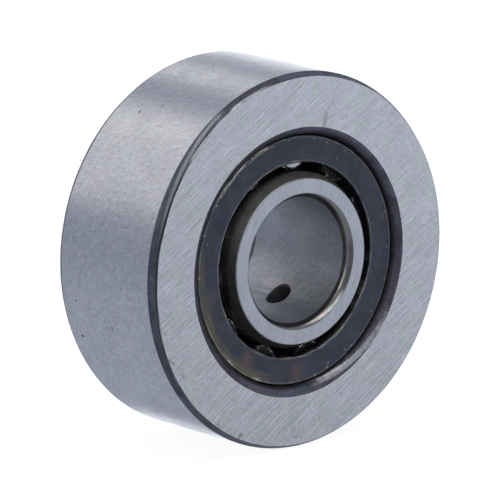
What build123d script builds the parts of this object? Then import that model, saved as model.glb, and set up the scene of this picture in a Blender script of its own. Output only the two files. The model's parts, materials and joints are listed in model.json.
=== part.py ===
from build123d import *
import os
from math import cos, hypot, radians, sin

# Yoke type track roller (cam follower), in millimetres.
# The roller turns about Y, the origin is its centre, and the side with the lubrication hole in view is -Y.
# Radii are measured from the Y axis, and every profile is drawn once and mirrored about mid width.

# Outer ring
tread_diameter = 30.0
outer_width = 11.8
outer_raceway_diameter = 20.0
tread_corner_radial = 0.40
tread_corner_axial = 0.55
bore_corner_radial = 0.75
bore_corner_axial = 0.60

# Inner ring
pin_bore_diameter = 10.0
inner_raceway_diameter = 14.0
inner_width = 12.0
inner_corner_radial = 0.42
inner_corner_axial = 0.80
lubrication_hole_diameter = 2.0
lubrication_hole_angle = -55.5

# Needle rollers
roller_count = 11
first_roller_angle = 87.3
raceway_clearance = 0.02
roller_length = 9.1
roller_end_radius = 0.25

# Cage, pressed from sheet: two end flanges turned inwards, two outer rims and a waist between them
cage_width = 10.6
cage_diameter = 19.80
cage_flange_bore = 15.50
sheet_thickness = 0.6
waist_diameter = 15.5
waist_width = 3.2
shoulder_width = 6.2
bend_radius = 0.30
rim_corner_radius = 0.08
pocket_clearance = 0.07
pocket_end_clearance = 0.10

tread_radius = tread_diameter / 2
outer_raceway_radius = outer_raceway_diameter / 2
inner_raceway_radius = inner_raceway_diameter / 2
pin_bore_radius = pin_bore_diameter / 2
pitch_radius = (outer_raceway_radius + inner_raceway_radius) / 2
roller_radius = (outer_raceway_radius - inner_raceway_radius) / 2 - raceway_clearance
roller_pitch = 360 / roller_count
rim_radius = (cage_diameter - sheet_thickness) / 2
flange_y = (cage_width - sheet_thickness) / 2

os.makedirs("parts", exist_ok=True)


def save(piece, name):
    """Name one finished piece and write it as its own STEP file."""
    piece.label = name
    export_step(piece, f"parts/{name}.step")


def beside(corners, distance):
    """Move the corners of a bent line sideways, so that a sheet along it has the same thickness on every leg."""
    normals = []
    for (x0, y0), (x1, y1) in zip(corners, corners[1:]):
        length = hypot(x1 - x0, y1 - y0)
        normals.append(((y1 - y0) / length, (x0 - x1) / length))
    moved = []
    for (x, y), (ax, ay), (bx, by) in zip(corners, normals[:1] + normals, normals + normals[-1:]):
        reach = distance / (1 + ax * bx + ay * by)
        moved.append((x + reach * (ax + bx), y + reach * (ay + by)))
    return moved


# Outer ring: a plain thick ring whose bore is the outer raceway, with no ribs
with BuildPart() as outer_ring:
    with BuildSketch(Plane.XY):
        with BuildLine():
            Polyline(
                (outer_raceway_radius, 0),
                (outer_raceway_radius, outer_width / 2 - bore_corner_axial),
                (outer_raceway_radius + bore_corner_radial, outer_width / 2),
                (tread_radius - tread_corner_radial, outer_width / 2),
                (tread_radius, outer_width / 2 - tread_corner_axial),
                (tread_radius, 0),
            )
            mirror(about=Plane.XZ)
        make_face()
    revolve(axis=Axis.Y)
save(outer_ring.part, "outer_ring")

# Inner ring: it stands 0.1 proud of the outer ring on each side, and one radial hole lets grease in
lubrication_direction = (cos(radians(lubrication_hole_angle)), 0, sin(radians(lubrication_hole_angle)))
with BuildPart() as inner_ring:
    with BuildSketch(Plane.XY):
        with BuildLine():
            Polyline(
                (pin_bore_radius, 0),
                (pin_bore_radius, inner_width / 2 - inner_corner_axial),
                (pin_bore_radius + inner_corner_radial, inner_width / 2),
                (inner_raceway_radius - inner_corner_radial, inner_width / 2),
                (inner_raceway_radius, inner_width / 2 - inner_corner_axial),
                (inner_raceway_radius, 0),
            )
            mirror(about=Plane.XZ)
        make_face()
    revolve(axis=Axis.Y)
    with BuildSketch(Plane(origin=(0, 0, 0), z_dir=lubrication_direction)):
        Circle(lubrication_hole_diameter / 2)
    extrude(amount=tread_radius, mode=Mode.SUBTRACT)
save(inner_ring.part, "inner_ring")

# Cage: the sheet follows one bent line from waist to flange, and each pocket is bored to its roller's size
cage_line = [
    (cage_flange_bore / 2, -flange_y),
    (rim_radius, -flange_y),
    (rim_radius, -shoulder_width / 2),
    (waist_diameter / 2, -waist_width / 2),
    (waist_diameter / 2, waist_width / 2),
    (rim_radius, shoulder_width / 2),
    (rim_radius, flange_y),
    (cage_flange_bore / 2, flange_y),
]
with BuildPart() as cage:
    with BuildSketch(Plane.XY) as cage_section:
        with BuildLine():
            Polyline(*beside(cage_line, sheet_thickness / 2), *beside(cage_line, -sheet_thickness / 2)[::-1], close=True)
        make_face()
        bends = [v for v in cage_section.vertices() if abs(v.Y) < flange_y - sheet_thickness]
        fillet(bends, bend_radius)
        rims = [v for v in cage_section.vertices() if v.X > rim_radius and abs(v.Y) > flange_y]
        fillet(rims, rim_corner_radius)
    revolve(axis=Axis.Y)
    with BuildSketch(Plane.XZ):
        with PolarLocations(pitch_radius, roller_count, start_angle=first_roller_angle):
            Circle(roller_radius + pocket_clearance)
    extrude(amount=roller_length / 2 + pocket_end_clearance, both=True, mode=Mode.SUBTRACT)
save(cage.part, "cage")

# Needle rollers: one node each, with rounded ends
for number in range(roller_count):
    angle = radians(first_roller_angle + number * roller_pitch)
    with BuildPart() as needle_roller:
        with BuildSketch(Plane.XZ):
            with Locations((pitch_radius * cos(angle), pitch_radius * sin(angle))):
                Circle(roller_radius)
        extrude(amount=roller_length / 2, both=True)
        fillet(needle_roller.edges().filter_by(GeomType.CIRCLE), roller_end_radius)
    save(needle_roller.part, f"needle_roller_{number + 1:02d}")
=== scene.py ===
"""Looks of a yoke type track roller: ground rings, a blackened sheet cage and oiled needle rollers.

Lengths are in millimetres and turn into metres only when a mesh is made.
Every round piece is drawn as an outline of (radius, y) points and turned about the roller's axis, Y.
"""

import json
import math

import bmesh
import bpy
import numpy as np
from mathutils import Matrix, Vector


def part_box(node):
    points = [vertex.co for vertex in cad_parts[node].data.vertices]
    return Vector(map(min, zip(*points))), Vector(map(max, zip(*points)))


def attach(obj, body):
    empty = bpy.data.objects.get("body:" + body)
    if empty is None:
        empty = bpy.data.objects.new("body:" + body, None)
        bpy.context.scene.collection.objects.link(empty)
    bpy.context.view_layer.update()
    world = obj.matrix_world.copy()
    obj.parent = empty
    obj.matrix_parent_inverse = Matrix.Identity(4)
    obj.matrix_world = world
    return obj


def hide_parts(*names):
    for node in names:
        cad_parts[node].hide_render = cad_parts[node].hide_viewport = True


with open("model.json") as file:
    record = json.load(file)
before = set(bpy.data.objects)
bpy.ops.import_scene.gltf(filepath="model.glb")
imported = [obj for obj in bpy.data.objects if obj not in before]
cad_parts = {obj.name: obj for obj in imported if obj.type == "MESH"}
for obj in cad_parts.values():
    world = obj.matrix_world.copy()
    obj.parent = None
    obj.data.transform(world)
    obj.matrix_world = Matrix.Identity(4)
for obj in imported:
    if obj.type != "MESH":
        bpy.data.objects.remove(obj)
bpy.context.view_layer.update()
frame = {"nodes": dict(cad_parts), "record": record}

MM = 0.001
TURN = 2 * math.pi


# -------- sizes taken from the frame

def node_size(node):
    """Largest radius about the axis and half the width of a CAD node, in mm."""
    low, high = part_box(node)
    return high.z / MM, (high.y - low.y) / 2 / MM


TREAD_R, RING_HALF = node_size("outer_ring")
INNER_R, INNER_HALF = node_size("inner_ring")
CAGE_R, CAGE_HALF = node_size("cage")
ROLLERS = sorted(name for name in frame["nodes"] if name.startswith("needle_roller"))
roller_low, roller_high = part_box(ROLLERS[0])
ROLLER_R = (roller_high.z - roller_low.z) / 2 / MM
ROLLER_HALF = (roller_high.y - roller_low.y) / 2 / MM
PITCH_R = math.hypot(roller_high.x + roller_low.x, roller_high.z + roller_low.z) / 2 / MM
PIN_R = next(m["dims"]["r_mm"] for m in frame["record"]["mounts"] if m["name"] == "pin_bore")
RACEWAY_R = PITCH_R + (PITCH_R - INNER_R)

# Outer ring corners: the tread's front and rear ends, the burnished edge with its painted highlight and
# the side face's edge
TREAD_EDGE_Y, REAR_EDGE_Y = 5.35, 5.22
TREAD_FILLET = 0.45
RIM_R, RIM_Y = 14.665, 5.865
FACE_OUTER_R = 14.62
BORE_CORNER_RADIAL, BORE_CORNER_AXIAL = 0.75, 0.60

# Brown specks on the tread, as (angle in degrees, y, size)
TREAD_SPECKS = ((202, 4.0, 0.22), (196, -0.3, 0.14), (190, 3.7, 0.13), (171, 3.9, 0.11),
                (128, 2.6, 0.16), (103, 0.7, 0.13), (118, -0.9, 0.10), (80, 4.5, 0.10))

# Inner ring: its corners, half the width of its clean track, and the hole with a rounded lip
CORNER_RADIAL, CORNER_AXIAL = 0.42, 0.80
FRONT_BORE_RADIAL, REAR_BORE_RADIAL = 0.47, 0.28
TRACK_HALF = 4.6
HOLE_R, HOLE_LIP = 1.0, 0.10
HOLE_ANGLE = math.radians(-55.5)

# Cage: the radii and half widths of its bent sheet, and its pockets
SHEET = 0.6
FLANGE_R = 7.75
SHOULDER_HALF = 3.1
WAIST_R, WAIST_HALF = 7.75, 1.6
BEND_R = 0.30
RIM_BEND_R = 0.08
EDGE_R = 0.12
POCKET_R = ROLLER_R + 0.07
POCKET_HALF = ROLLER_HALF + 0.10

# Needle rollers
ROLLER_END_R = 0.25

# Segments round a full turn
RING_STEPS = 480
ROLLER_STEPS = 96
POCKET_STEPS = 72
HOLE_STEPS = 64

# An outline that closes on its axis stops this far short of it
AXIS_R = 0.0001


# -------- outlines

def arc(centre, size, start, end, steps):
    """Points on an ellipse about centre, from angle start to end in degrees."""
    angles = np.radians(np.linspace(start, end, steps + 1))
    return [(centre[0] + size[0] * math.cos(a), centre[1] + size[1] * math.sin(a)) for a in angles]


def rounded(corners, support):
    """An open outline through (radius, y, fillet) corners, each fillet as an arc of points.

    A support point stands beside each fillet, so that smooth shading stays near it.
    """
    degrees_per_step = 11
    points = [corners[0][:2]]
    for before, corner, after in zip(corners, corners[1:], corners[2:]):
        at = np.array(corner[:2])
        inward, outward = np.array(before[:2]) - at, np.array(after[:2]) - at
        inward, outward = inward / np.linalg.norm(inward), outward / np.linalg.norm(outward)
        half = math.acos(max(-1.0, min(1.0, float(inward @ outward)))) / 2
        reach = corner[2] / math.tan(half)
        middle = (inward + outward) / np.linalg.norm(inward + outward)
        centre = at + middle * corner[2] / math.sin(half)
        first, last = at + inward * reach - centre, at + outward * reach - centre
        steps = max(2, round((math.pi - 2 * half) / math.radians(degrees_per_step)))
        points.append(tuple(at + inward * (reach + support)))
        for i in range(steps + 1):
            bend = first * (1 - i / steps) + last * (i / steps)
            points.append(tuple(centre + bend / np.linalg.norm(bend) * corner[2]))
        points.append(tuple(at + outward * (reach + support)))
    return points + [corners[-1][:2]]


def rounded_bevel(radius, face_y, radial, axial, turn):
    """A bore's corner, from side face to bore, as an arc that leaves a slight edge at each end.

    radial and axial are the corner's size, and its surface turns through turn degrees.
    """
    steps = 16
    middle = math.degrees(math.atan2(radial, axial))
    at_bore, at_face = math.radians(middle - turn / 2), math.radians(middle + turn / 2)
    bend = radial / (math.cos(at_bore) - math.cos(at_face))
    centre = (radius + bend * math.cos(at_bore), face_y - bend * math.sin(at_face))
    return arc(centre, (-bend, bend), middle + turn / 2, middle - turn / 2, steps)


def both_sides(rear, front):
    """The closed outline of a ring. Both halves are given on the rear side, with y from 0 up."""
    return rear + [(r, -y) for r, y in reversed(front) if y > 0]


def beside(corners, distance):
    """The (radius, y, fillet) corners of a bent line, moved sideways.

    Every leg moves by the same distance, so that a sheet along the line keeps its thickness.
    """
    legs = [np.array(b[:2]) - np.array(a[:2]) for a, b in zip(corners, corners[1:])]
    normals = [np.array([leg[1], -leg[0]]) / np.linalg.norm(leg) for leg in legs]
    moved = []
    for corner, a, b in zip(corners, normals[:1] + normals, normals + normals[-1:]):
        shift = (a + b) * distance / (1 + a @ b)
        moved.append((corner[0] + shift[0], corner[1] + shift[1], corner[2]))
    return moved


# -------- meshes

def ripple(seed):
    """A random curve round a full turn, within -1 to 1, that meets itself."""
    slowest, fastest, fall = 2, 60, 0.9
    rng = np.random.default_rng(seed)
    phases = rng.uniform(0, TURN, fastest)

    def curve(angles):
        total = sum(np.sin(k * angles + phases[k]) / k**fall for k in range(slowest, fastest))
        return total / np.abs(total).max()

    return curve


def towards(angle):
    """A curve that shifts a circle sideways, towards an angle in degrees."""
    return lambda angles: np.cos(angles - math.radians(angle))


def oval(angle):
    """A curve that makes a circle oval, longest towards an angle in degrees."""
    return lambda angles: np.cos(2 * (angles - math.radians(angle)))


def lathe(name, outline, materials, zone, steps=RING_STEPS, waves=(), closed=True):
    """Turns an outline about Y. zone(radius, y) gives the material's place in the list.

    Each wave (radius, y, reach, radial, axial, curve) moves the outline near one point by a
    curve of the angle.
    """
    outline = np.array(outline)
    angles = np.arange(steps) * TURN / steps
    radii = np.repeat(outline[:, 0][:, None], steps, axis=1)
    depths = np.repeat(outline[:, 1][:, None], steps, axis=1)
    for wave_r, wave_y, reach, radial, axial, curve in waves:
        near = np.exp(-((outline[:, 0] - wave_r) ** 2 + (outline[:, 1] - wave_y) ** 2) / reach**2)
        radii += np.outer(near * radial, curve(angles))
        depths += np.outer(near * axial, curve(angles))
    points = np.stack([radii * np.cos(angles), depths, radii * np.sin(angles)], axis=-1)
    rows = len(outline)
    faces, zones = [], []
    for i in range(rows if closed else rows - 1):
        following = (i + 1) % rows
        middle = (outline[i] + outline[following]) / 2
        place = zone(middle[0], middle[1])
        for j in range(steps):
            k = (j + 1) % steps
            faces.append((i * steps + j, i * steps + k, following * steps + k, following * steps + j))
            zones.append(place)
    return solid(name, points.reshape(-1, 3), faces, materials, zones)


def solid(name, points, faces, materials, zones=None):
    """A mesh object from points in mm, smooth except at real corners."""
    mesh = bpy.data.meshes.new(name)
    mesh.from_pydata((np.array(points) * MM).tolist(), [], faces)
    for material in materials:
        mesh.materials.append(material)
    if zones is not None:
        mesh.polygons.foreach_set("material_index", zones)
    mesh.validate()
    piece = bpy.data.objects.new(name, mesh)
    bpy.context.scene.collection.objects.link(piece)
    face_outwards(mesh)
    finish_shading(mesh)
    return piece


def face_outwards(mesh):
    """Turns a closed mesh's faces outwards."""
    working = bmesh.new()
    working.from_mesh(mesh)
    bmesh.ops.recalc_face_normals(working, faces=working.faces)
    working.to_mesh(mesh)
    working.free()


def finish_shading(mesh):
    """Shades a mesh smooth, but leaves the edges sharp where it bends by more than 28 degrees."""
    mesh.shade_smooth()
    mesh.set_sharp_from_angle(angle=math.radians(28))


def cut(piece, cutter):
    """Takes the cutter out of the piece and deletes it."""
    modifier = piece.modifiers.new("cut", "BOOLEAN")
    modifier.operation = "DIFFERENCE"
    modifier.solver = "EXACT"
    modifier.object = cutter
    graph = bpy.context.evaluated_depsgraph_get()
    mesh = bpy.data.meshes.new_from_object(piece.evaluated_get(graph), depsgraph=graph)
    piece.modifiers.clear()
    old, piece.data = piece.data, mesh
    bpy.data.meshes.remove(old)
    bpy.data.objects.remove(cutter)
    finish_shading(mesh)


# -------- node building

class Surface:
    """One Principled material with short calls for the nodes that feed it."""

    def __init__(self, name, **sockets):
        self.material = bpy.data.materials.new(name)
        self.material.use_nodes = True
        self.tree = self.material.node_tree
        self.shader = self.tree.nodes["Principled BSDF"]
        self.set(**sockets)
        place = self.node("ShaderNodeTexCoord").outputs["Object"]
        self.place = self.scaled(place, 1 / MM)
        split = self.node("ShaderNodeSeparateXYZ", Vector=self.place)
        self.x, self.y, self.z = split.outputs
        self.radius = self.math("SQRT", self.add(self.times(self.x, self.x),
                                                self.times(self.z, self.z)))

    def set(self, **sockets):
        """Sets or links the shader's sockets, each named with _ for a space."""
        for name, value in sockets.items():
            self.join(value, self.shader.inputs[name.replace("_", " ")])

    def join(self, value, socket):
        """Links value to a socket if it is one itself, or else sets the socket to it."""
        if isinstance(value, bpy.types.NodeSocket):
            self.tree.links.new(value, socket)
        elif socket.type == "RGBA" and len(value) == 3:
            socket.default_value = (*value, 1)
        else:
            socket.default_value = value

    def node(self, kind, settings=None, **sockets):
        made = self.tree.nodes.new(kind)
        for name, value in (settings or {}).items():
            setattr(made, name, value)
        for name, value in sockets.items():
            self.join(value, made.inputs[name])
        return made

    def math(self, operation, *values):
        made = self.node("ShaderNodeMath", {"operation": operation})
        for value, socket in zip(values, made.inputs):
            self.join(value, socket)
        return made.outputs[0]

    def add(self, first, second):
        return self.math("ADD", first, second)

    def minus(self, first, second):
        return self.math("SUBTRACT", first, second)

    def larger(self, first, second):
        return self.math("MAXIMUM", first, second)

    def times(self, first, *others):
        """The product of all its factors."""
        product = first
        for other in others:
            product = self.math("MULTIPLY", product, other)
        return product

    def vector(self, operation, *values):
        made = self.node("ShaderNodeVectorMath", {"operation": operation})
        for value, socket in zip(values, made.inputs):
            self.join(value, socket)
        return made.outputs["Value" if operation in ("DOT_PRODUCT", "LENGTH") else "Vector"]

    def spread(self, value, low, high, to_low=0.0, to_high=1.0):
        """value from low..high to to_low..to_high, smooth and clamped."""
        made = self.node("ShaderNodeMapRange", {"interpolation_type": "SMOOTHSTEP"}, Value=value)
        names = ("From Min", "From Max", "To Min", "To Max")
        for name, number in zip(names, (low, high, to_low, to_high)):
            self.join(number, made.inputs[name])
        return made.outputs["Result"]

    def noise(self, where, scale, detail, rough, shift=0.0):
        """Noise from 0 to 1. Each shift gives another pattern."""
        moved = self.vector("ADD", where, (shift, shift * 0.7, -shift))
        made = self.node("ShaderNodeTexNoise", Vector=moved, Scale=scale, Detail=detail,
                         Roughness=rough)
        return made.outputs["Fac"]

    def relief(self, where, step, scale, detail, rough, shift=0.0):
        """Noise less the same noise a step aside: painted light on one flank of a mark and painted
        shade on the other.
        """
        here = self.noise(where, scale, detail, rough, shift)
        aside = self.noise(self.vector("ADD", where, step), scale, detail, rough, shift)
        return self.minus(here, aside)

    def outward(self):
        """The direction away from the roller's axis."""
        return self.vector("NORMALIZE", self.vector("MULTIPLY", self.place, (1, 0, 1)))

    def around(self, angle, start, full):
        """0 to 1 as a point comes round to an angle about the axis.

        It is 0 at start degrees away from the angle, and 1 at full degrees away from it.
        """
        a = math.radians(angle)
        near = self.vector("DOT_PRODUCT", self.outward(), (math.cos(a), 0, math.sin(a)))
        return self.spread(near, math.cos(math.radians(start)), math.cos(math.radians(full)))

    def past(self, angle):
        """The sine of how far a point has come round the axis past an angle."""
        a = math.radians(angle)
        return self.vector("DOT_PRODUCT", self.outward(), (-math.sin(a), 0, math.cos(a)))

    def blend(self, *weighted):
        """The sum of (socket, weight) pairs, each socket taken about its middle, 0.5."""
        total = 0.0
        for value, weight in weighted:
            total = self.add(total, self.times(self.minus(value, 0.5), weight))
        return total

    def scaled(self, color, factor):
        """A colour or vector times a factor that may vary."""
        made = self.node("ShaderNodeVectorMath", {"operation": "SCALE"})
        self.join(color, made.inputs[0])
        self.join(factor, made.inputs["Scale"])
        return made.outputs["Vector"]

    def mix(self, factor, first, second):
        """The first colour where factor is 0, the second where it is 1."""
        made = self.node("ShaderNodeMix", {"data_type": "RGBA"})
        factor_socket, first_socket, second_socket = made.inputs[0], made.inputs[6], made.inputs[7]
        self.join(factor, factor_socket)
        self.join(first, first_socket)
        self.join(second, second_socket)
        return made.outputs[2]

    def two_hues(self, tint, first, second, scale):
        """A tint that drifts between two hues, each given as a factor for every channel."""
        drift = self.noise(self.place, scale, detail=3.0, rough=0.6, shift=23)
        return self.mix(self.spread(drift, 0.35, 0.65), [c * k for c, k in zip(tint, first)],
                        [c * k for c, k in zip(tint, second)])

    def flat(self, lay):
        """Place on a side face, as (along the grinding lines, y, across them)."""
        turned = self.node("ShaderNodeVectorRotate", {"rotation_type": "Y_AXIS"}, Vector=self.place,
                           Angle=math.radians(lay))
        return turned.outputs[0]

    def round(self, reach):
        """Place on a turned surface, for marks reach times as long round the axis as along it."""
        return self.node("ShaderNodeCombineXYZ", X=self.math("DIVIDE", self.x, reach), Y=self.y,
                         Z=self.math("DIVIDE", self.z, reach)).outputs[0]

    def swept(self, along, across):
        """Place on a side, for marks of one length round the axis and another towards it.

        The length round the axis is right at a radius of 10 mm.
        """
        lift = self.node("ShaderNodeCombineXYZ", Y=self.math("DIVIDE", self.radius, across))
        return self.vector("ADD", self.scaled(self.outward(), 10 / along), lift.outputs[0])

    def spot(self, angle, radius, y, size, soft):
        """A round spot at an angle about the axis, a radius and a y: 1 inside and 0 beyond size.

        soft is the part of its size in which it fades.
        """
        a = math.radians(angle)
        centre = (radius * math.cos(a), y, radius * math.sin(a))
        away = self.vector("LENGTH", self.vector("SUBTRACT", self.place, centre))
        return self.spread(away, size * (1 - soft), size, 1, 0)

    def stretched(self, where, along, across):
        """Place divided by the length of a mark along X and its width across."""
        return self.vector("MULTIPLY", where, (1 / along, 1 / across, 1 / across))

    def bump(self, height, distance):
        """The normal of a surface that rises by distance, in mm, where height goes from 0 to 1."""
        return self.node("ShaderNodeBump", Height=height, Distance=distance * MM).outputs[0]


# -------- materials

# Colours that are laid over a surface's own
UNGROUND_RIM = (0.055, 0.055, 0.062)
DENT = (0.33, 0.34, 0.36)
BROWN_HAIRLINE = (0.30, 0.25, 0.19)
BROWN_SPECK = (0.085, 0.060, 0.055)
FAINT_SPECK = (0.17, 0.14, 0.13)
PALE_FLECK = (0.34, 0.34, 0.36)
BROWN_STAIN_AND_REFLECTION = (0.125, 0.052, 0.045)
OLIVE_SMEAR_AND_REFLECTION = (0.064, 0.058, 0.034)
BARE_SHEET_GLINT = (0.42, 0.40, 0.36)
OILY_FLECK_GLINT = (0.34, 0.33, 0.30)
HIGHLIGHT_STEEL = (0.66, 0.66, 0.67)


def side_face_steel(name, lay, tint, coarse, rim=None):
    """Ground steel with straight fine lines.

    lay is the direction of the lines in degrees, and coarse is how strongly they show.
    rim=(radius, wander) adds the marks near the outer edge of the outer ring's face.
    """
    s = Surface(name, Metallic=1.0)
    lines = s.flat(lay)
    drift = s.node("ShaderNodeTexNoise", Vector=s.place, Scale=0.5).outputs["Color"]
    bent = s.vector("ADD", lines, s.scaled(drift, 0.4))
    strokes = s.stretched(bent, 2.4, 0.13)
    crossing = s.stretched(s.flat(lay + 58), 1.3, 0.13)
    fine = s.relief(strokes, (0.02, 0, 0.42), 1.0, detail=2.0, rough=0.62)
    crossed = s.spread(s.noise(s.place, 0.20, detail=2.0, rough=0.5, shift=21), 0.44, 0.60)
    across = s.times(s.relief(crossing, (0.02, 0, 0.42), 1.0, detail=1.0, rough=0.5, shift=3), crossed)
    grains = s.relief(s.place, (0.07, 0, 0.09), 2.6, detail=2.0, rough=0.6, shift=17)
    hair = s.noise(s.stretched(lines, 4.0, 0.10), 1.0, detail=2.0, rough=0.6, shift=9)
    cloud = s.noise(s.place, 0.55, detail=4.0, rough=0.6, shift=11)
    # light holds painted light and shade: the relief marks are lit on one flank and shaded on the other
    light = s.add(s.times(fine, 0.72 * coarse), s.times(across, 0.28 * coarse))
    light = s.add(light, s.times(grains, 0.38 * coarse))
    light = s.add(light, s.blend((hair, 0.50 * coarse), (cloud, 0.22)))
    # painted light: each side face grows lighter towards the top and towards +x
    light = s.add(light, s.vector("DOT_PRODUCT", s.place, (0.0022, 0, 0.0050)))
    scratch = s.noise(s.stretched(bent, 2.4, 0.13), 1.0, detail=0.0, rough=0.5, shift=31)
    gouge = s.noise(s.stretched(s.flat(lay + 8), 1.1, 0.12), 1.0, detail=0.0, rough=0.5, shift=43)
    pit = s.noise(s.place, 2.7, detail=1.0, rough=0.5, shift=57)
    shade = s.add(s.times(light, 1.25), 1.0)
    shade = s.add(shade, s.spread(scratch, 0.70, 0.80, 0, 0.24 * coarse))
    shade = s.minus(shade, s.spread(gouge, 0.71, 0.81, 0, 0.26 * coarse))
    shade = s.times(shade, s.spread(pit, 0.775, 0.83, 1.0, 0.55))
    hues = s.two_hues(tint, (1.03, 0.985, 1.015), (0.975, 1.01, 0.985), scale=0.8)
    color = s.scaled(hues, shade)
    if rim:
        color = rim_marks(s, color, *rim)
    s.set(Base_Color=color)
    s.set(Roughness=s.spread(hair, 0.3, 0.7, 0.44, 0.36))
    s.set(Normal=s.bump(s.add(fine, s.add(grains, across)), 0.0022))
    return s.material


def rim_marks(s, color, radius, wander):
    """A wavy dark edge that the grinding wheel missed, small dents inside it and one brown hairline."""
    waver = s.noise(s.round(3.2), 1.0, detail=4.0, rough=0.62, shift=14)
    edge = s.add(s.radius, s.times(s.minus(waver, 0.5), wander))
    missed = s.times(s.spread(edge, radius, radius + 0.07), s.around(166, 34, 16))
    color = s.mix(missed, color, UNGROUND_RIM)
    dents = s.noise(s.round(1.1), 1.0, detail=2.0, rough=0.5, shift=37)
    dented = s.times(s.spread(dents, 0.60, 0.68), s.spread(s.radius, radius - 0.9, radius - 0.1))
    color = s.mix(s.times(dented, s.around(250, 70, 30)), color, DENT)
    bends = s.noise(s.place, 1.6, detail=3.0, rough=0.6, shift=61)
    creep = s.add(s.around(77, 1.6, 0.5), s.blend((bends, 1.6)))
    hairline = s.times(s.spread(creep, 0.75, 0.98), s.around(77, 3.5, 1.5),
                       s.spread(s.radius, 12.3, 11.4))
    return s.mix(s.times(hairline, 0.45), color, BROWN_HAIRLINE)


def turned_steel(name, tint, rough, grain=1.0, spots=(), darkening=None):
    """Cylindrically ground steel: a mottled grain and short fine marks round the axis.

    Each spot (angle, y, size) is a brown speck on the tread, with fainter ones scattered between.
    film=(angle, start, full, none_y, full_y, strength) makes it darker near an angle and from none_y to
    full_y.
    """
    s = Surface(name, Metallic=1.0)
    marks = s.noise(s.round(1.6), 3.4, detail=4.0, rough=0.65, shift=5)
    mottle = s.noise(s.place, 2.3, detail=3.0, rough=0.62, shift=9)
    lumps = s.relief(s.place, (0.08, 0.06, 0.08), 2.3, detail=2.0, rough=0.6, shift=19)
    grains = s.relief(s.place, (0.04, 0.04, 0.05), 5.0, detail=1.0, rough=0.6, shift=27)
    cloud = s.noise(s.place, 0.35, detail=4.0, rough=0.55, shift=13)
    light = s.blend((marks, 0.26 * grain), (mottle, 0.42 * grain), (cloud, 0.16))
    # the lumps and grains are relief: painted light on one flank and painted shade on the other
    light = s.add(light, s.times(lumps, 0.60 * grain))
    light = s.add(light, s.times(grains, 0.40 * grain))
    if darkening:
        angle, start, full, none_y, full_y, strength = darkening
        darkened = s.times(s.around(angle, start, full), s.spread(s.y, none_y, full_y))
        light = s.minus(light, s.times(darkened, strength))
    hues = s.two_hues(tint, (1.03, 0.99, 0.99), (0.975, 1.01, 1.01), scale=1.3)
    color = s.scaled(hues, s.add(light, 1.0))
    if spots:
        color = brown_specks(s, color, spots)
    s.set(Base_Color=color)
    s.set(Roughness=s.spread(cloud, 0.3, 0.7, rough + 0.03, rough - 0.03))
    s.set(Normal=s.bump(s.add(marks, s.add(mottle, lumps)), 0.0026))
    return s.material


def brown_specks(s, color, spots):
    """The placed specks, with ragged edges, and fainter ones scattered between them."""
    pits = s.noise(s.place, 2.6, detail=1.0, rough=0.5, shift=83)
    color = s.mix(s.spread(pits, 0.755, 0.81, 0, 0.6), color, FAINT_SPECK)
    ragged = s.noise(s.place, 4.0, detail=2.0, rough=0.6, shift=71)
    for angle, y, size in spots:
        spot = s.spot(angle, TREAD_R, y, size, soft=0.6)
        color = s.mix(s.times(spot, s.spread(ragged, 0.25, 0.6, 0.4, 1.0)), color, BROWN_SPECK)
    return color


def unground_steel(name, tint, rubs_and_highlights, rubbed_highlight_tint, scored, dull, gap=None):
    """Dark heat-treated skin left in a corner.

    Each rub (angle, reach, radius, climb, width) is a bright patch on the front, worn metal with a
    painted highlight: strongest at its angle, gone reach degrees away, and kept near a radius
    that climbs round the axis.
    scored is how much fine lines across the corner break the patches up.
    dull=(angle, start, full) is where it is darker, and gap=(first, second) is painted shade: it
    darkens it from the second radius to the first, towards the gap beside the cage.
    """
    s = Surface(name, Metallic=0.85)
    cloud = s.noise(s.place, 0.8, detail=5.0, rough=0.6, shift=2)
    grains = s.noise(s.place, 5.0, detail=3.0, rough=0.65, shift=8)
    lines = s.noise(s.swept(6.0, 0.13), 1.0, detail=3.0, rough=0.6, shift=47)
    warm = s.spread(s.noise(s.place, 0.35, detail=3.0, rough=0.5, shift=15), 0.42, 0.64)
    color = s.mix(warm, tint, (tint[0] * 1.15, tint[1] * 0.99, tint[2] * 1.01))
    shade = s.spread(s.blend((cloud, 1.0), (grains, 0.5), (lines, 0.7)), -0.35, 0.35, 0.6, 1.5)
    shade = s.times(shade, s.minus(1.0, s.times(s.around(*dull), 0.45)))
    # painted shade: darker towards the gap beside the cage, lighter further out
    if gap:
        shade = s.times(shade, s.spread(s.radius, gap[0], gap[1], 0.45, 1.70))
    color = s.scaled(color, shade)
    fleck = s.spread(s.noise(s.place, 4.2, detail=2.0, rough=0.5, shift=33), 0.70, 0.77)
    color = s.mix(s.times(fleck, 0.45), color, PALE_FLECK)
    # the bright patches are worn metal with painted highlights on it
    rubbed_highlight = rubbed_highlight_patches(s, rubs_and_highlights, scored)
    nick_noise = s.noise(s.swept(0.14, 0.9), 1.0, detail=1.0, rough=0.5, shift=63)
    nicks = s.spread(nick_noise, 0.62, 0.72, 1.0, 1 - 0.75 * scored)
    s.set(Base_Color=s.mix(s.times(rubbed_highlight, nicks), color, rubbed_highlight_tint))
    s.set(Roughness=s.minus(s.spread(cloud, 0.3, 0.7, 0.48, 0.34), s.times(rubbed_highlight, 0.14)))
    s.set(Normal=s.bump(s.blend((cloud, 1.0), (grains, 0.5), (lines, 0.8)), 0.010))
    return s.material


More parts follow.
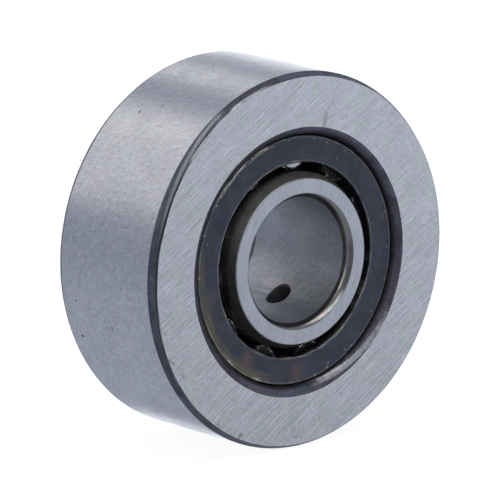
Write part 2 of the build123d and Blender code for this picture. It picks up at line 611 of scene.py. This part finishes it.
def rubbed_highlight_patches(s, rubs_and_highlights, scored):
    """1 in the patches where a corner is worn bright and carries a painted highlight, for
    unground_steel.
    """
    front = s.spread(s.y, -2.0, -3.0)
    scratches = s.noise(s.swept(0.20, 1.3), 1.0, detail=3.0, rough=0.6, shift=19)
    patches = s.noise(s.swept(1.5, 0.30), 1.0, detail=4.0, rough=0.65, shift=39)
    rubbed_highlight = 0.0
    for angle, reach, radius, climb, width in rubs_and_highlights:
        near = s.around(angle, reach, 0)
        strength = s.add(near, s.blend((patches, 1.3), (scratches, 1.1 * scored)))
        middle = s.add(s.times(s.past(angle), climb), radius)
        off = s.math("ABSOLUTE", s.minus(s.radius, middle))
        away = s.add(off, s.blend((patches, width)))
        patch = s.times(s.spread(strength, 0.35, 1.05), s.spread(near, 0, 0.15), front,
                        s.spread(away, 0.3 * width, width, 1, 0))
        rubbed_highlight = s.larger(rubbed_highlight, patch)
    return rubbed_highlight


def burnished_edge_highlight(name):
    """The sharp edge of a corner: bright where it is worn, with a painted highlight there, and dark
    elsewhere.
    """
    s = Surface(name, Metallic=1.0, Roughness=0.30)
    dashes = s.noise(s.swept(1.7, 1.0), 1.0, detail=4.0, rough=0.6, shift=27)
    # painted highlight on the worn edge, strongest round 123 degrees
    where = s.larger(s.around(123, 26, 14), s.times(s.around(214, 13, 5), 0.5))
    rubbed_highlight = s.times(s.spread(dashes, 0.36, 0.52), where, s.spread(s.y, -2.0, -3.0))
    s.set(Base_Color=s.mix(rubbed_highlight, (0.06, 0.063, 0.072), (0.62, 0.62, 0.63)))
    s.set(Normal=s.bump(dashes, 0.004))
    return s.material


def cage_sheet(name):
    """Blackened sheet steel, with olive grease that carries a painted reflection, and brown spots on
    its front.
    """
    s = Surface(name, Specular_IOR_Level=0.40)
    front = s.spread(s.y, -4.6, -5.0)
    cloud = s.noise(s.place, 0.6, detail=4.0, rough=0.6, shift=3)
    grains = s.noise(s.place, 3.2, detail=3.0, rough=0.6, shift=6)
    hue = s.spread(s.noise(s.place, 0.45, detail=3.0, rough=0.6, shift=26), 0.38, 0.62)
    color = s.mix(hue, (0.0165, 0.0240, 0.0400), (0.0215, 0.0245, 0.0375))
    color = s.scaled(color, s.spread(s.blend((cloud, 1.0), (grains, 0.7)), -0.35, 0.35, 0.70, 1.35))
    # brown spots: the two low ones, at -124 and -90 degrees, are painted reflections of orange light;
    # the one at 192 degrees is a stain
    for angle, radius, strength in ((-124, 8.75, 0.42), (-90, 8.95, 0.50), (192, 8.8, 0.22)):
        stain_and_reflection = s.spot(angle, radius, -CAGE_HALF, size=1.1, soft=1.0)
        stain_and_reflection = s.times(stain_and_reflection, s.spread(cloud, 0.3, 0.6, 0.55, 1.0), strength)
        color = s.mix(stain_and_reflection, color, BROWN_STAIN_AND_REFLECTION)
    # olive grease near the rim at the lower left, partly a painted olive reflection
    streaks = s.noise(s.swept(3.2, 0.22), 1.0, detail=4.0, rough=0.62, shift=44)
    waver = s.noise(s.swept(5.0, 3.0), 1.0, detail=3.0, rough=0.6, shift=51)
    wander = s.add(s.radius, s.blend((waver, 0.9)))
    smear_and_reflection = s.times(s.spread(wander, 9.05, 9.30), front, s.around(214, 50, 24),
                    s.spread(streaks, 0.34, 0.56, 0.15, 1.0))
    color = s.mix(smear_and_reflection, color, OLIVE_SMEAR_AND_REFLECTION)
    # worn spots, with painted glints along the flange's edges
    bare_and_glint = bare_sheet_and_glints(s, front)
    color = s.mix(bare_and_glint, color, BARE_SHEET_GLINT)
    s.set(Base_Color=color, Metallic=s.times(bare_and_glint, 0.6))
    s.set(Roughness=s.spread(cloud, 0.3, 0.7, 0.50, 0.38))
    height = s.blend((grains, 1.0), (cloud, 2.0), (s.times(smear_and_reflection, streaks), 3.0))
    s.set(Normal=s.bump(height, 0.007))
    return s.material


def bare_sheet_and_glints(s, front):
    """Where the blackening is gone: chips and fine lines at the edges, which also stand for painted
    glints, and scattered specks.
    """
    chips = s.noise(s.swept(1.3, 0.20), 1.0, detail=4.0, rough=0.66, shift=17)
    often = s.blend((s.larger(s.around(128, 30, 14), s.around(236, 22, 8)), 0.21))
    rim = s.spread(s.radius, CAGE_R - 0.34, CAGE_R - 0.16)
    chipped = s.times(rim, front, s.spread(s.add(chips, often), 0.53, 0.66), 0.85)
    rim_line = s.times(s.spread(s.radius, CAGE_R - 0.20, CAGE_R - 0.10), front,
                       s.spread(chips, 0.35, 0.6, 0.04, 0.18))
    inner_line = s.times(s.spread(s.radius, FLANGE_R + 0.26, FLANGE_R + 0.14), front,
                         s.spread(chips, 0.42, 0.62, 0.04, 0.36))
    specks = s.noise(s.place, 2.9, detail=1.0, rough=0.5, shift=29)
    more_at_rim = s.spread(s.radius, CAGE_R - 0.75, CAGE_R - 0.3, 0, 0.07)
    dust = s.spread(s.add(specks, more_at_rim), 0.745, 0.80, 0, 0.42)
    return s.larger(s.larger(chipped, rim_line), s.larger(inner_line, dust))


def sheared_edge(name):
    """The cut edge of the cage's sheet: dark where it tore, worn to the metal in long streaks, mostly
    low, where they add a painted highlight.
    """
    s = Surface(name, Metallic=0.8, Roughness=0.36)
    torn = s.noise(s.swept(2.2, 0.3), 1.0, detail=4.0, rough=0.62, shift=12)
    # more streaks round 300 degrees: a painted highlight along the flange's inner edge
    often = s.blend((s.around(300, 80, 35), 0.24))
    bare_and_glint = s.spread(s.add(torn, often), 0.52, 0.66)
    s.set(Base_Color=s.mix(bare_and_glint, (0.030, 0.033, 0.040), (0.24, 0.235, 0.225)))
    s.set(Normal=s.bump(torn, 0.02))
    return s.material


def needle_corner(name):
    """The rounded end corner of a needle roller: painted nearly black as shade, with short pale flecks
    that are painted glints.
    """
    s = Surface(name, Roughness=0.34, Specular_IOR_Level=0.3)
    dashes = s.noise(s.swept(0.5, 0.25), 1.0, detail=2.0, rough=0.6, shift=35)
    # painted glints: more of them at the left, fewer at the upper right
    often = s.minus(s.times(s.around(195, 60, 30), 0.09), s.times(s.around(38, 55, 20), 0.07))
    bare_and_glint = s.spread(s.add(dashes, often), 0.50, 0.59)
    s.set(Base_Color=s.mix(bare_and_glint, (0.012, 0.012, 0.012), (0.38, 0.37, 0.35)))
    s.set(Normal=s.bump(dashes, 0.004))
    return s.material


def oiled_steel(name, tint, rough, metal=1.0, bright=None, dull=None, flecks=0.4, gloss=0.5):
    """Steel under a coat of old oil.

    bright is an angle where a painted highlight lies, dull=(angle, start, full) is where it is darker,
    and flecks is how strongly short marks worn to the metal show, which also stand for painted glints.
    """
    s = Surface(name, Specular_IOR_Level=gloss)
    marks = s.noise(s.round(2.0), 5.0, detail=3.0, rough=0.6)
    cloud = s.noise(s.place, 0.9, detail=3.0, rough=0.5, shift=8)
    color = s.scaled(tint, s.spread(s.blend((marks, 1.0), (cloud, 1.0)), -0.4, 0.4, 0.7, 1.3))
    if dull:
        color = s.scaled(color, s.minus(1.0, s.times(s.around(*dull), 0.65)))
    # short flecks: marks worn to the metal, and painted glints
    short = s.noise(s.swept(0.45, 0.16), 1.0, detail=2.0, rough=0.6, shift=41)
    fleck = s.spread(short, 0.62, 0.72, 0, flecks)
    color = s.mix(fleck, color, OILY_FLECK_GLINT)
    shine = s.larger(metal, fleck)
    if bright is not None:
        # painted highlight round the angle bright
        painted_highlight = s.around(bright, 16, 10)
        color = s.mix(painted_highlight, color, HIGHLIGHT_STEEL)
        shine = s.larger(shine, painted_highlight)
    s.set(Base_Color=color, Metallic=shine)
    s.set(Roughness=s.spread(marks, 0.3, 0.7, rough + 0.05, rough - 0.05))
    s.set(Normal=s.bump(marks, 0.0008))
    return s.material


def grease(name):
    """Olive grease, glossy and nearly dark where it lies thin in the gap."""
    s = Surface(name, Specular_IOR_Level=0.3, Roughness=0.36)
    lumps = s.noise(s.place, 2.2, detail=4.0, rough=0.6, shift=5)
    s.set(Base_Color=s.mix(s.spread(lumps, 0.35, 0.65), (0.016, 0.015, 0.009), (0.046, 0.041, 0.023)))
    s.set(Normal=s.bump(lumps, 0.05))
    return s.material


def floor_paper(name):
    """Matt white paper that shines a little of its own, so that shadows on it stay faint."""
    s = Surface(name, Roughness=0.9, Specular_IOR_Level=0.1)
    s.set(Emission_Color=(1, 1, 1, 1), Emission_Strength=0.92)
    tooth = s.noise(s.place, 0.6, detail=4.0, rough=0.6)
    s.set(Base_Color=s.mix(tooth, (0.17, 0.17, 0.172), (0.19, 0.19, 0.19)))
    s.set(Normal=s.bump(tooth, 0.02))
    return s.material


# -------- outer ring

def outer_ring_half(tread_corner):
    """Half of the outline, from mid tread round the side face to mid raceway."""
    bevel = rounded_bevel(RACEWAY_R, RING_HALF, BORE_CORNER_RADIAL, BORE_CORNER_AXIAL, turn=50)
    half = rounded([
        (TREAD_R, 0, 0),
        *tread_corner,
        (RIM_R, RIM_Y, 0.02),
        (FACE_OUTER_R, RING_HALF, 0.01),
        (*bevel[0], 0.10),
        (*bevel[1], 0),
    ], support=0.02)[:-1]
    return half + bevel[1:] + [(RACEWAY_R, bevel[-1][1] - 0.05), (RACEWAY_R, 0)]


def outer_ring_materials():
    return {
        "tread": turned_steel("tread_ground_steel", tint=(0.53, 0.545, 0.575), rough=0.30,
                              spots=TREAD_SPECKS),
        # the corner's rubs are worn metal with painted highlights
        "corner": unground_steel("outer_corner_scale", tint=(0.076, 0.084, 0.106),
                                 rubs_and_highlights=((142, 32, 14.78, -0.40, 0.11), (110, 13, 14.70, 0, 0.08)),
                                 rubbed_highlight_tint=(0.30, 0.295, 0.30), scored=0.3, dull=(109, 16, 6)),
        "edge": burnished_edge_highlight("burnished_corner_edge_highlight"),
        "face": side_face_steel("side_ground_steel", lay=33, tint=(0.63, 0.64, 0.655), coarse=0.88,
                                rim=(FACE_OUTER_R - 0.17, 0.26)),
        # the bore corner's rub is worn metal with a painted highlight
        "bore_corner": unground_steel("bore_corner_scale", tint=(0.053, 0.052, 0.066),
                                      rubs_and_highlights=((-57, 38, RACEWAY_R + 0.40, 0.45, 0.26),),
                                      rubbed_highlight_tint=(0.48, 0.47, 0.46), scored=1.0,
                                      dull=(165, 85, 45), gap=(RACEWAY_R, RACEWAY_R + 0.38)),
        # painted shade: the raceway is painted nearly black, as it shows only in the shaded slit beside
        # the cage
        "raceway": oiled_steel("raceway_steel", tint=(0.018, 0.017, 0.019), rough=0.40, metal=0.2,
                               flecks=0.1),
    }


def outer_ring_waves():
    """Unevenness of the tread's ends, of the faces' outer edges and of the bore's corners."""
    waves = []
    inner_edge = RACEWAY_R + BORE_CORNER_RADIAL
    for side, tread_edge, seed in ((-1, TREAD_EDGE_Y, 10), (1, REAR_EDGE_Y, 20)):
        face_y = side * RING_HALF
        waves += [
            (TREAD_R, side * tread_edge, 0.15, 0, 0.035, ripple(seed)),
            (FACE_OUTER_R, face_y, 0.12, 0.03, 0, ripple(seed + 1)),
            (FACE_OUTER_R, face_y, 0.12, 0.065, 0, oval(60)),
            (inner_edge, face_y, 0.10, 0.020, 0, ripple(seed + 2)),
            (inner_edge - 0.1, face_y, 0.35, 0.09, 0, towards(222)),
        ]
    return waves


def make_outer_ring():
    front = outer_ring_half([(TREAD_R, TREAD_EDGE_Y, TREAD_FILLET)])
    rear = outer_ring_half([(TREAD_R, REAR_EDGE_Y, 0.05), (TREAD_R - 0.07, REAR_EDGE_Y + 0.20, 0.05)])
    materials = outer_ring_materials()
    place = {part: i for i, part in enumerate(materials)}

    def zone(r, y):
        depth = abs(y)
        tread_reach = 0.018 if y < 0 else 0.004
        if r > TREAD_R - tread_reach:
            return place["tread"]
        if depth > RING_HALF - 0.003:
            return place["face"]
        if math.hypot(r - RIM_R, depth - RIM_Y) < 0.05:
            return place["edge"]
        if r > FACE_OUTER_R - 1:
            return place["corner"]
        return place["bore_corner"] if r > RACEWAY_R + 0.002 else place["raceway"]

    piece = lathe("outer_ring_detailed", both_sides(rear, front), materials.values(), zone,
                  waves=outer_ring_waves())
    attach(piece, "outer_ring")
    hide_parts("outer_ring")


# -------- inner ring

def inner_ring_half(bore_corner_radial):
    """Half of the outline, from mid raceway round the side face to mid bore."""
    corner_y = INNER_HALF - CORNER_AXIAL
    bevel = rounded_bevel(PIN_R, INNER_HALF, bore_corner_radial, CORNER_AXIAL, turn=44)
    half = rounded([
        (INNER_R, TRACK_HALF, 0),
        (INNER_R, corner_y, 0.40),
        (INNER_R - CORNER_RADIAL, INNER_HALF, 0.22),
        (*bevel[0], 0.05),
        (*bevel[1], 0),
    ], support=0.03)[:-1]
    return [(INNER_R, 0)] + half + bevel[1:] + [(PIN_R, corner_y - 0.05), (PIN_R, 0)]


def inner_ring_materials():
    return {
        "track": oiled_steel("inner_track_steel", tint=(0.24, 0.238, 0.23), rough=0.32, metal=0.9),
        # painted shade: the shoulders of the track, which show in the gap under the cage, are painted
        # far darker than the track
        "shoulder": oiled_steel("inner_shoulder_steel", tint=(0.042, 0.041, 0.037), rough=0.34,
                                metal=0.2, dull=(215, 75, 25), flecks=0.2, gloss=0.35),
        "outer_corner": oiled_steel("inner_outer_corner_steel", tint=(0.050, 0.049, 0.044), rough=0.28,
                                    metal=0.35, dull=(215, 75, 25), flecks=0.1, gloss=0.35),
        "face": side_face_steel("inner_side_ground_steel", lay=70, tint=(0.535, 0.555, 0.585),
                                coarse=0.5),
        "bore_corner": turned_steel("inner_bore_corner_steel", tint=(0.30, 0.285, 0.262), rough=0.17,
                                    grain=0.5, darkening=(-13, 29, 12, -5.55, -5.80, 0.45)),
        # painted shade: the bore is darker at the lower right, towards its front end
        "bore": turned_steel("pin_bore_steel", tint=(0.395, 0.408, 0.437), rough=0.50, grain=0.9,
                             darkening=(-50, 32, 10, 2.0, -1.0, 0.30)),
        "hole": oiled_steel("lubrication_hole_steel", tint=(0.13, 0.13, 0.12), rough=0.5, metal=0.3,
                            flecks=0.0),
        # painted shade: the rear bore corner is painted much darker than the front one
        "rear_bore_corner": turned_steel("rear_bore_corner_steel", tint=(0.09, 0.088, 0.085),
                                         rough=0.30, grain=0.5),
        "rounding": turned_steel("inner_rounding_steel", tint=(0.38, 0.375, 0.365), rough=0.26,
                                 grain=0.6),
    }


def make_inner_ring():
    front, rear = inner_ring_half(FRONT_BORE_RADIAL), inner_ring_half(REAR_BORE_RADIAL)
    materials = inner_ring_materials()
    place = {part: i for i, part in enumerate(materials)}

    def zone(r, y):
        depth = abs(y)
        beside_corner = r < INNER_R - CORNER_RADIAL and depth > INNER_HALF - 0.03
        if beside_corner or depth > INNER_HALF - 0.004:
            return place["face"]
        if r > INNER_R - 0.002:
            return place["track" if depth < TRACK_HALF else "shoulder"]
        if r < PIN_R + 0.002:
            return place["bore"]
        if r > (PIN_R + INNER_R) / 2:
            return place["rounding" if depth > INNER_HALF - 0.10 else "outer_corner"]
        return place["bore_corner" if y < 0 else "rear_bore_corner"]

    piece = lathe("inner_ring_detailed", both_sides(rear, front), materials.values(), zone)
    cut(piece, lubrication_cutter(place["hole"], materials.values()))
    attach(piece, "inner_ring")
    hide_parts("inner_ring")


def lubrication_cutter(hole_material, materials):
    """A pin with a flared neck where it meets the bore, so that the hole gets a rounded lip."""
    start, end = PIN_R - 0.8, INNER_R + 0.5
    lip_start = PIN_R - 0.02
    neck = arc((HOLE_R + HOLE_LIP, lip_start + HOLE_LIP), (-HOLE_LIP, -HOLE_LIP), 90, 0, 6)
    outline = [(AXIS_R, start), (HOLE_R + HOLE_LIP, start), *neck, (HOLE_R, end), (AXIS_R, end)]
    cutter = lathe("lubrication_cutter", outline, materials, lambda r, y: hole_material,
                   steps=HOLE_STEPS)
    upright = Matrix.Rotation(-math.pi / 2, 4, "X")
    cutter.matrix_world = Matrix.Rotation(-(HOLE_ANGLE + math.pi / 2), 4, "Y") @ upright
    bpy.context.view_layer.update()
    return cutter


# -------- cage

def cage_outline():
    rim = CAGE_R - SHEET / 2
    flange = CAGE_HALF - SHEET / 2
    line = [
        (FLANGE_R, -flange, EDGE_R),
        (rim, -flange, RIM_BEND_R),
        (rim, -SHOULDER_HALF, BEND_R),
        (WAIST_R, -WAIST_HALF, BEND_R),
        (WAIST_R, WAIST_HALF, BEND_R),
        (rim, SHOULDER_HALF, BEND_R),
        (rim, flange, RIM_BEND_R),
        (FLANGE_R, flange, EDGE_R),
    ]
    start = (FLANGE_R, -flange, 0)
    outside, inside = beside(line, SHEET / 2), beside(line, -SHEET / 2)
    return rounded([start, *inside, *outside[::-1], start], support=0.02)[:-1]


def cage_waves():
    """Unevenness of the flanges' cut edges and of their inner sides."""
    waves = []
    for side, seed in ((-1, 30), (1, 40)):
        outer_y, inner_y = side * CAGE_HALF, side * (CAGE_HALF - SHEET)
        waves += [
            (FLANGE_R, outer_y, 0.25, 0.055, 0, ripple(seed)),
            (FLANGE_R, inner_y, 0.25, 0.07, 0, ripple(seed + 1)),
            (FLANGE_R + 0.8, inner_y, 1.2, 0, 0.02, ripple(seed + 2)),
        ]
    return waves


def make_cage():
    def zone(r, y):
        """1 on the cut edge of a flange, 0 on the rest of the sheet."""
        return 1 if r < FLANGE_R + EDGE_R - 0.01 and abs(y) > CAGE_HALF - SHEET else 0

    materials = [cage_sheet("blackened_sheet"), sheared_edge("sheared_sheet_edge")]
    piece = lathe("cage_detailed", cage_outline(), materials, zone, waves=cage_waves())
    cut(piece, pocket_cutter(materials))
    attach(piece, "cage")
    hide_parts("cage")


def pocket_cutter(materials):
    """One mesh of separate pins, one for each pocket."""
    ring = np.arange(POCKET_STEPS) * TURN / POCKET_STEPS
    points, faces = [], []
    for node in ROLLERS:
        low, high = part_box(node)
        centre = (low + high) / 2 / MM
        front = len(points)
        rear = front + POCKET_STEPS
        for y in (-POCKET_HALF, POCKET_HALF):
            points += [(centre.x + POCKET_R * math.cos(a), y, centre.z + POCKET_R * math.sin(a))
                       for a in ring]
        for j in range(POCKET_STEPS):
            k = (j + 1) % POCKET_STEPS
            faces.append((front + j, front + k, rear + k, rear + j))
        faces += [tuple(range(front, rear)), tuple(range(rear, len(points)))]
    return solid("pocket_cutter", points, faces, materials)


# -------- needle rollers

def make_rollers():
    outline = rounded([
        (AXIS_R, -ROLLER_HALF, 0),
        (ROLLER_R, -ROLLER_HALF, ROLLER_END_R),
        (ROLLER_R, ROLLER_HALF, ROLLER_END_R),
        (AXIS_R, ROLLER_HALF, 0),
    ], support=0.04)
    materials = {
        "side": oiled_steel("needle_roller_steel", tint=(0.56, 0.56, 0.55), rough=0.32),
        # painted shade: the roller ends are painted nearly black, as they lie in shade inside the gap;
        # the one near 92 degrees gets a painted highlight
        "end": oiled_steel("needle_end_steel", tint=(0.010, 0.010, 0.010), rough=0.40, metal=0.0,
                           bright=92, gloss=0.15),
        "corner": needle_corner("needle_corner_steel"),
    }
    place = {part: i for i, part in enumerate(materials)}
    turn_each = 1.7  # radians, so that the marks differ from roller to roller

    def zone(r, y):
        if abs(y) > ROLLER_HALF - 0.001:
            return place["end"]
        return place["corner" if abs(y) > ROLLER_HALF - ROLLER_END_R else "side"]

    for number, node in enumerate(ROLLERS):
        low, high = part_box(node)
        piece = lathe(node + "_detailed", outline, materials.values(), zone, steps=ROLLER_STEPS,
                      closed=False)
        turned = Matrix.Rotation(number * turn_each, 4, "Y")
        piece.data.transform(Matrix.Translation((low + high) / 2) @ turned)
        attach(piece, node)
        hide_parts(node)


# -------- grease in the gap round the cage

def make_grease():
    """Two beads that lie against the cage's rim, thick in the middle and thin at their ends."""
    material = grease("amber_grease")
    beads = ((172, 248, 0.050), (118, 150, 0.035))  # start and end in degrees, thickness
    steps, sides = 160, 12
    middle_r, middle_y = CAGE_R + 0.01, -CAGE_HALF + 0.22
    depth_ratio = 1.6
    for number, (start, end, thickness) in enumerate(beads):
        angles = np.radians(np.linspace(start, end, steps))
        taper = np.sin(np.linspace(0, math.pi, steps)) ** 0.5
        lumpy = taper * (0.8 + 0.25 * ripple(60 + number)(angles * 3))
        swell = thickness * np.maximum(lumpy, 0.05)
        points, faces = [], []
        for a, size in zip(angles, swell):
            for t in np.arange(sides) * TURN / sides:
                r = middle_r + size * math.cos(t)
                y = middle_y + depth_ratio * size * math.sin(t)
                points.append((r * math.cos(a), y, r * math.sin(a)))
        for i in range(steps - 1):
            for j in range(sides):
                k = (j + 1) % sides
                faces.append((i * sides + j, i * sides + k, (i + 1) * sides + k, (i + 1) * sides + j))
        faces += [tuple(range(sides)), tuple(range(len(points) - sides, len(points)))]
        piece = solid(f"grease_bead_{number + 1}", points, faces, [material])
        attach(piece, "cage")


# -------- stage, light and camera

def make_floor():
    """A round sheet of paper that the roller stands on."""
    radius, steps = 400, 96
    angles = np.arange(steps) * TURN / steps
    ring = [(radius * math.cos(a), radius * math.sin(a), -TREAD_R) for a in angles]
    floor = solid("floor", ring, [tuple(range(steps))], [floor_paper("floor_paper")])
    floor.visible_glossy = False


# Soft round panels, as (direction, inner and outer half-angle in degrees, radiance)
WARM_PANELS = (
    ((-0.355, 0.743, 0.567), 18, 28.5, 0.44),
    ((-0.150, 0.743, 0.652), 1, 10, 0.28),
    ((0.405, 0.743, 0.533), 1, 8.5, 0.95),
)
COOL_PANELS = (
    ((0.540, 0.815, -0.145), 12, 25, 1.55),
    ((-0.283, 0.743, -0.606), 24, 35, 0.10),
    ((0.630, -0.743, -0.220), 25, 60, 0.20),
    ((-0.030, -0.370, 0.927), 5, 16, 1.40),
    ((-0.250, -0.530, 0.810), 4, 14, 1.20),
    ((-0.433, -0.598, 0.672), 3, 12, 1.00),
    ((0.200, -0.180, 0.960), 5, 15, 1.10),
    ((0.431, 0.032, 0.900), 4, 14, 0.90),
    ((-0.793, -0.058, 0.602), 4, 13, 1.30),
    ((-0.934, -0.068, 0.349), 3, 12, 0.80),
    ((-0.591, 0.016, 0.805), 3, 12, 0.55),
)


def background(tree, color):
    """A light of one colour from every direction."""
    made = tree.nodes.new("ShaderNodeBackground")
    made.inputs["Color"].default_value = color
    return made


def panel_light(tree, direction, panels):
    """The radiance of all the panels in a direction: full inside the inner half-angle of each."""
    total = None
    for centre, inner, outer, radiance in panels:
        dot = tree.nodes.new("ShaderNodeVectorMath")
        dot.operation = "DOT_PRODUCT"
        dot.inputs[1].default_value = Vector(centre).normalized()
        tree.links.new(direction, dot.inputs[0])
        fade = tree.nodes.new("ShaderNodeMapRange")
        fade.interpolation_type = "SMOOTHSTEP"
        fade.inputs["From Min"].default_value = math.cos(math.radians(outer))
        fade.inputs["From Max"].default_value = math.cos(math.radians(inner))
        fade.inputs["To Max"].default_value = radiance
        tree.links.new(dot.outputs["Value"], fade.inputs["Value"])
        if total is None:
            total = fade.outputs["Result"]
            continue
        add = tree.nodes.new("ShaderNodeMath")
        tree.links.new(total, add.inputs[0])
        tree.links.new(fade.outputs["Result"], add.inputs[1])
        total = add.outputs[0]
    return total


def make_world():
    """A white backdrop for the camera, and a studio of panels for the light and reflections."""
    world = bpy.data.worlds.new("studio")
    world.use_nodes = True
    bpy.context.scene.world = world
    tree = world.node_tree
    tree.nodes.clear()
    direction = tree.nodes.new("ShaderNodeTexCoord").outputs["Generated"]
    room = background(tree, (0.78, 0.84, 1.0, 1))
    room.inputs["Strength"].default_value = 0.50
    light = room.outputs[0]
    for panels, tint in ((WARM_PANELS, (1.18, 1.08, 0.98, 1)), (COOL_PANELS, (0.99, 0.99, 1.0, 1))):
        lit = background(tree, tint)
        tree.links.new(panel_light(tree, direction, panels), lit.inputs["Strength"])
        both = tree.nodes.new("ShaderNodeAddShader")
        tree.links.new(light, both.inputs[0])
        tree.links.new(lit.outputs[0], both.inputs[1])
        light = both.outputs[0]
    backdrop = background(tree, (1, 1, 1, 1))
    path = tree.nodes.new("ShaderNodeLightPath")
    pick = tree.nodes.new("ShaderNodeMixShader")
    tree.links.new(path.outputs["Is Camera Ray"], pick.inputs[0])
    tree.links.new(light, pick.inputs[1])
    tree.links.new(backdrop.outputs[0], pick.inputs[2])
    output = tree.nodes.new("ShaderNodeOutputWorld")
    tree.links.new(pick.outputs[0], output.inputs["Surface"])


def make_lights():
    """One large overhead panel that whitens the floor and softens the contact shadow."""
    light = bpy.data.lights.new("overhead_panel", "AREA")
    light.shape = "DISK"
    light.size = 0.5
    light.energy = 3.2
    lamp = bpy.data.objects.new("overhead_panel", light)
    lamp.location = (0.02, -0.05, 0.45)
    lamp.visible_glossy = False
    bpy.context.scene.collection.objects.link(lamp)


def make_camera():
    """The view from 40 degrees left of the axis and 13 degrees above it, half a metre away."""
    azimuth, elevation, distance = math.radians(-40.27), math.radians(12.68), 504.6
    aim_right, aim_up = -0.124, -0.087
    back = Vector((math.sin(azimuth) * math.cos(elevation), -math.cos(azimuth) * math.cos(elevation),
                   math.sin(elevation)))
    right = Vector((math.cos(azimuth), math.sin(azimuth), 0))
    up = back.cross(right)
    data = bpy.data.cameras.new("camera")
    data.sensor_width = 36
    data.lens = 461
    camera = bpy.data.objects.new("camera", data)
    turn = Matrix((right, up, back)).transposed().to_4x4()
    place = (back * distance + right * aim_right + up * aim_up) * MM
    camera.matrix_world = Matrix.Translation(place) @ turn
    bpy.context.scene.collection.objects.link(camera)
    bpy.context.scene.camera = camera
    bpy.context.scene.view_settings.view_transform = "Standard"


make_outer_ring()
make_inner_ring()
make_cage()
make_rollers()
make_grease()
make_floor()
make_world()
make_lights()
make_camera()
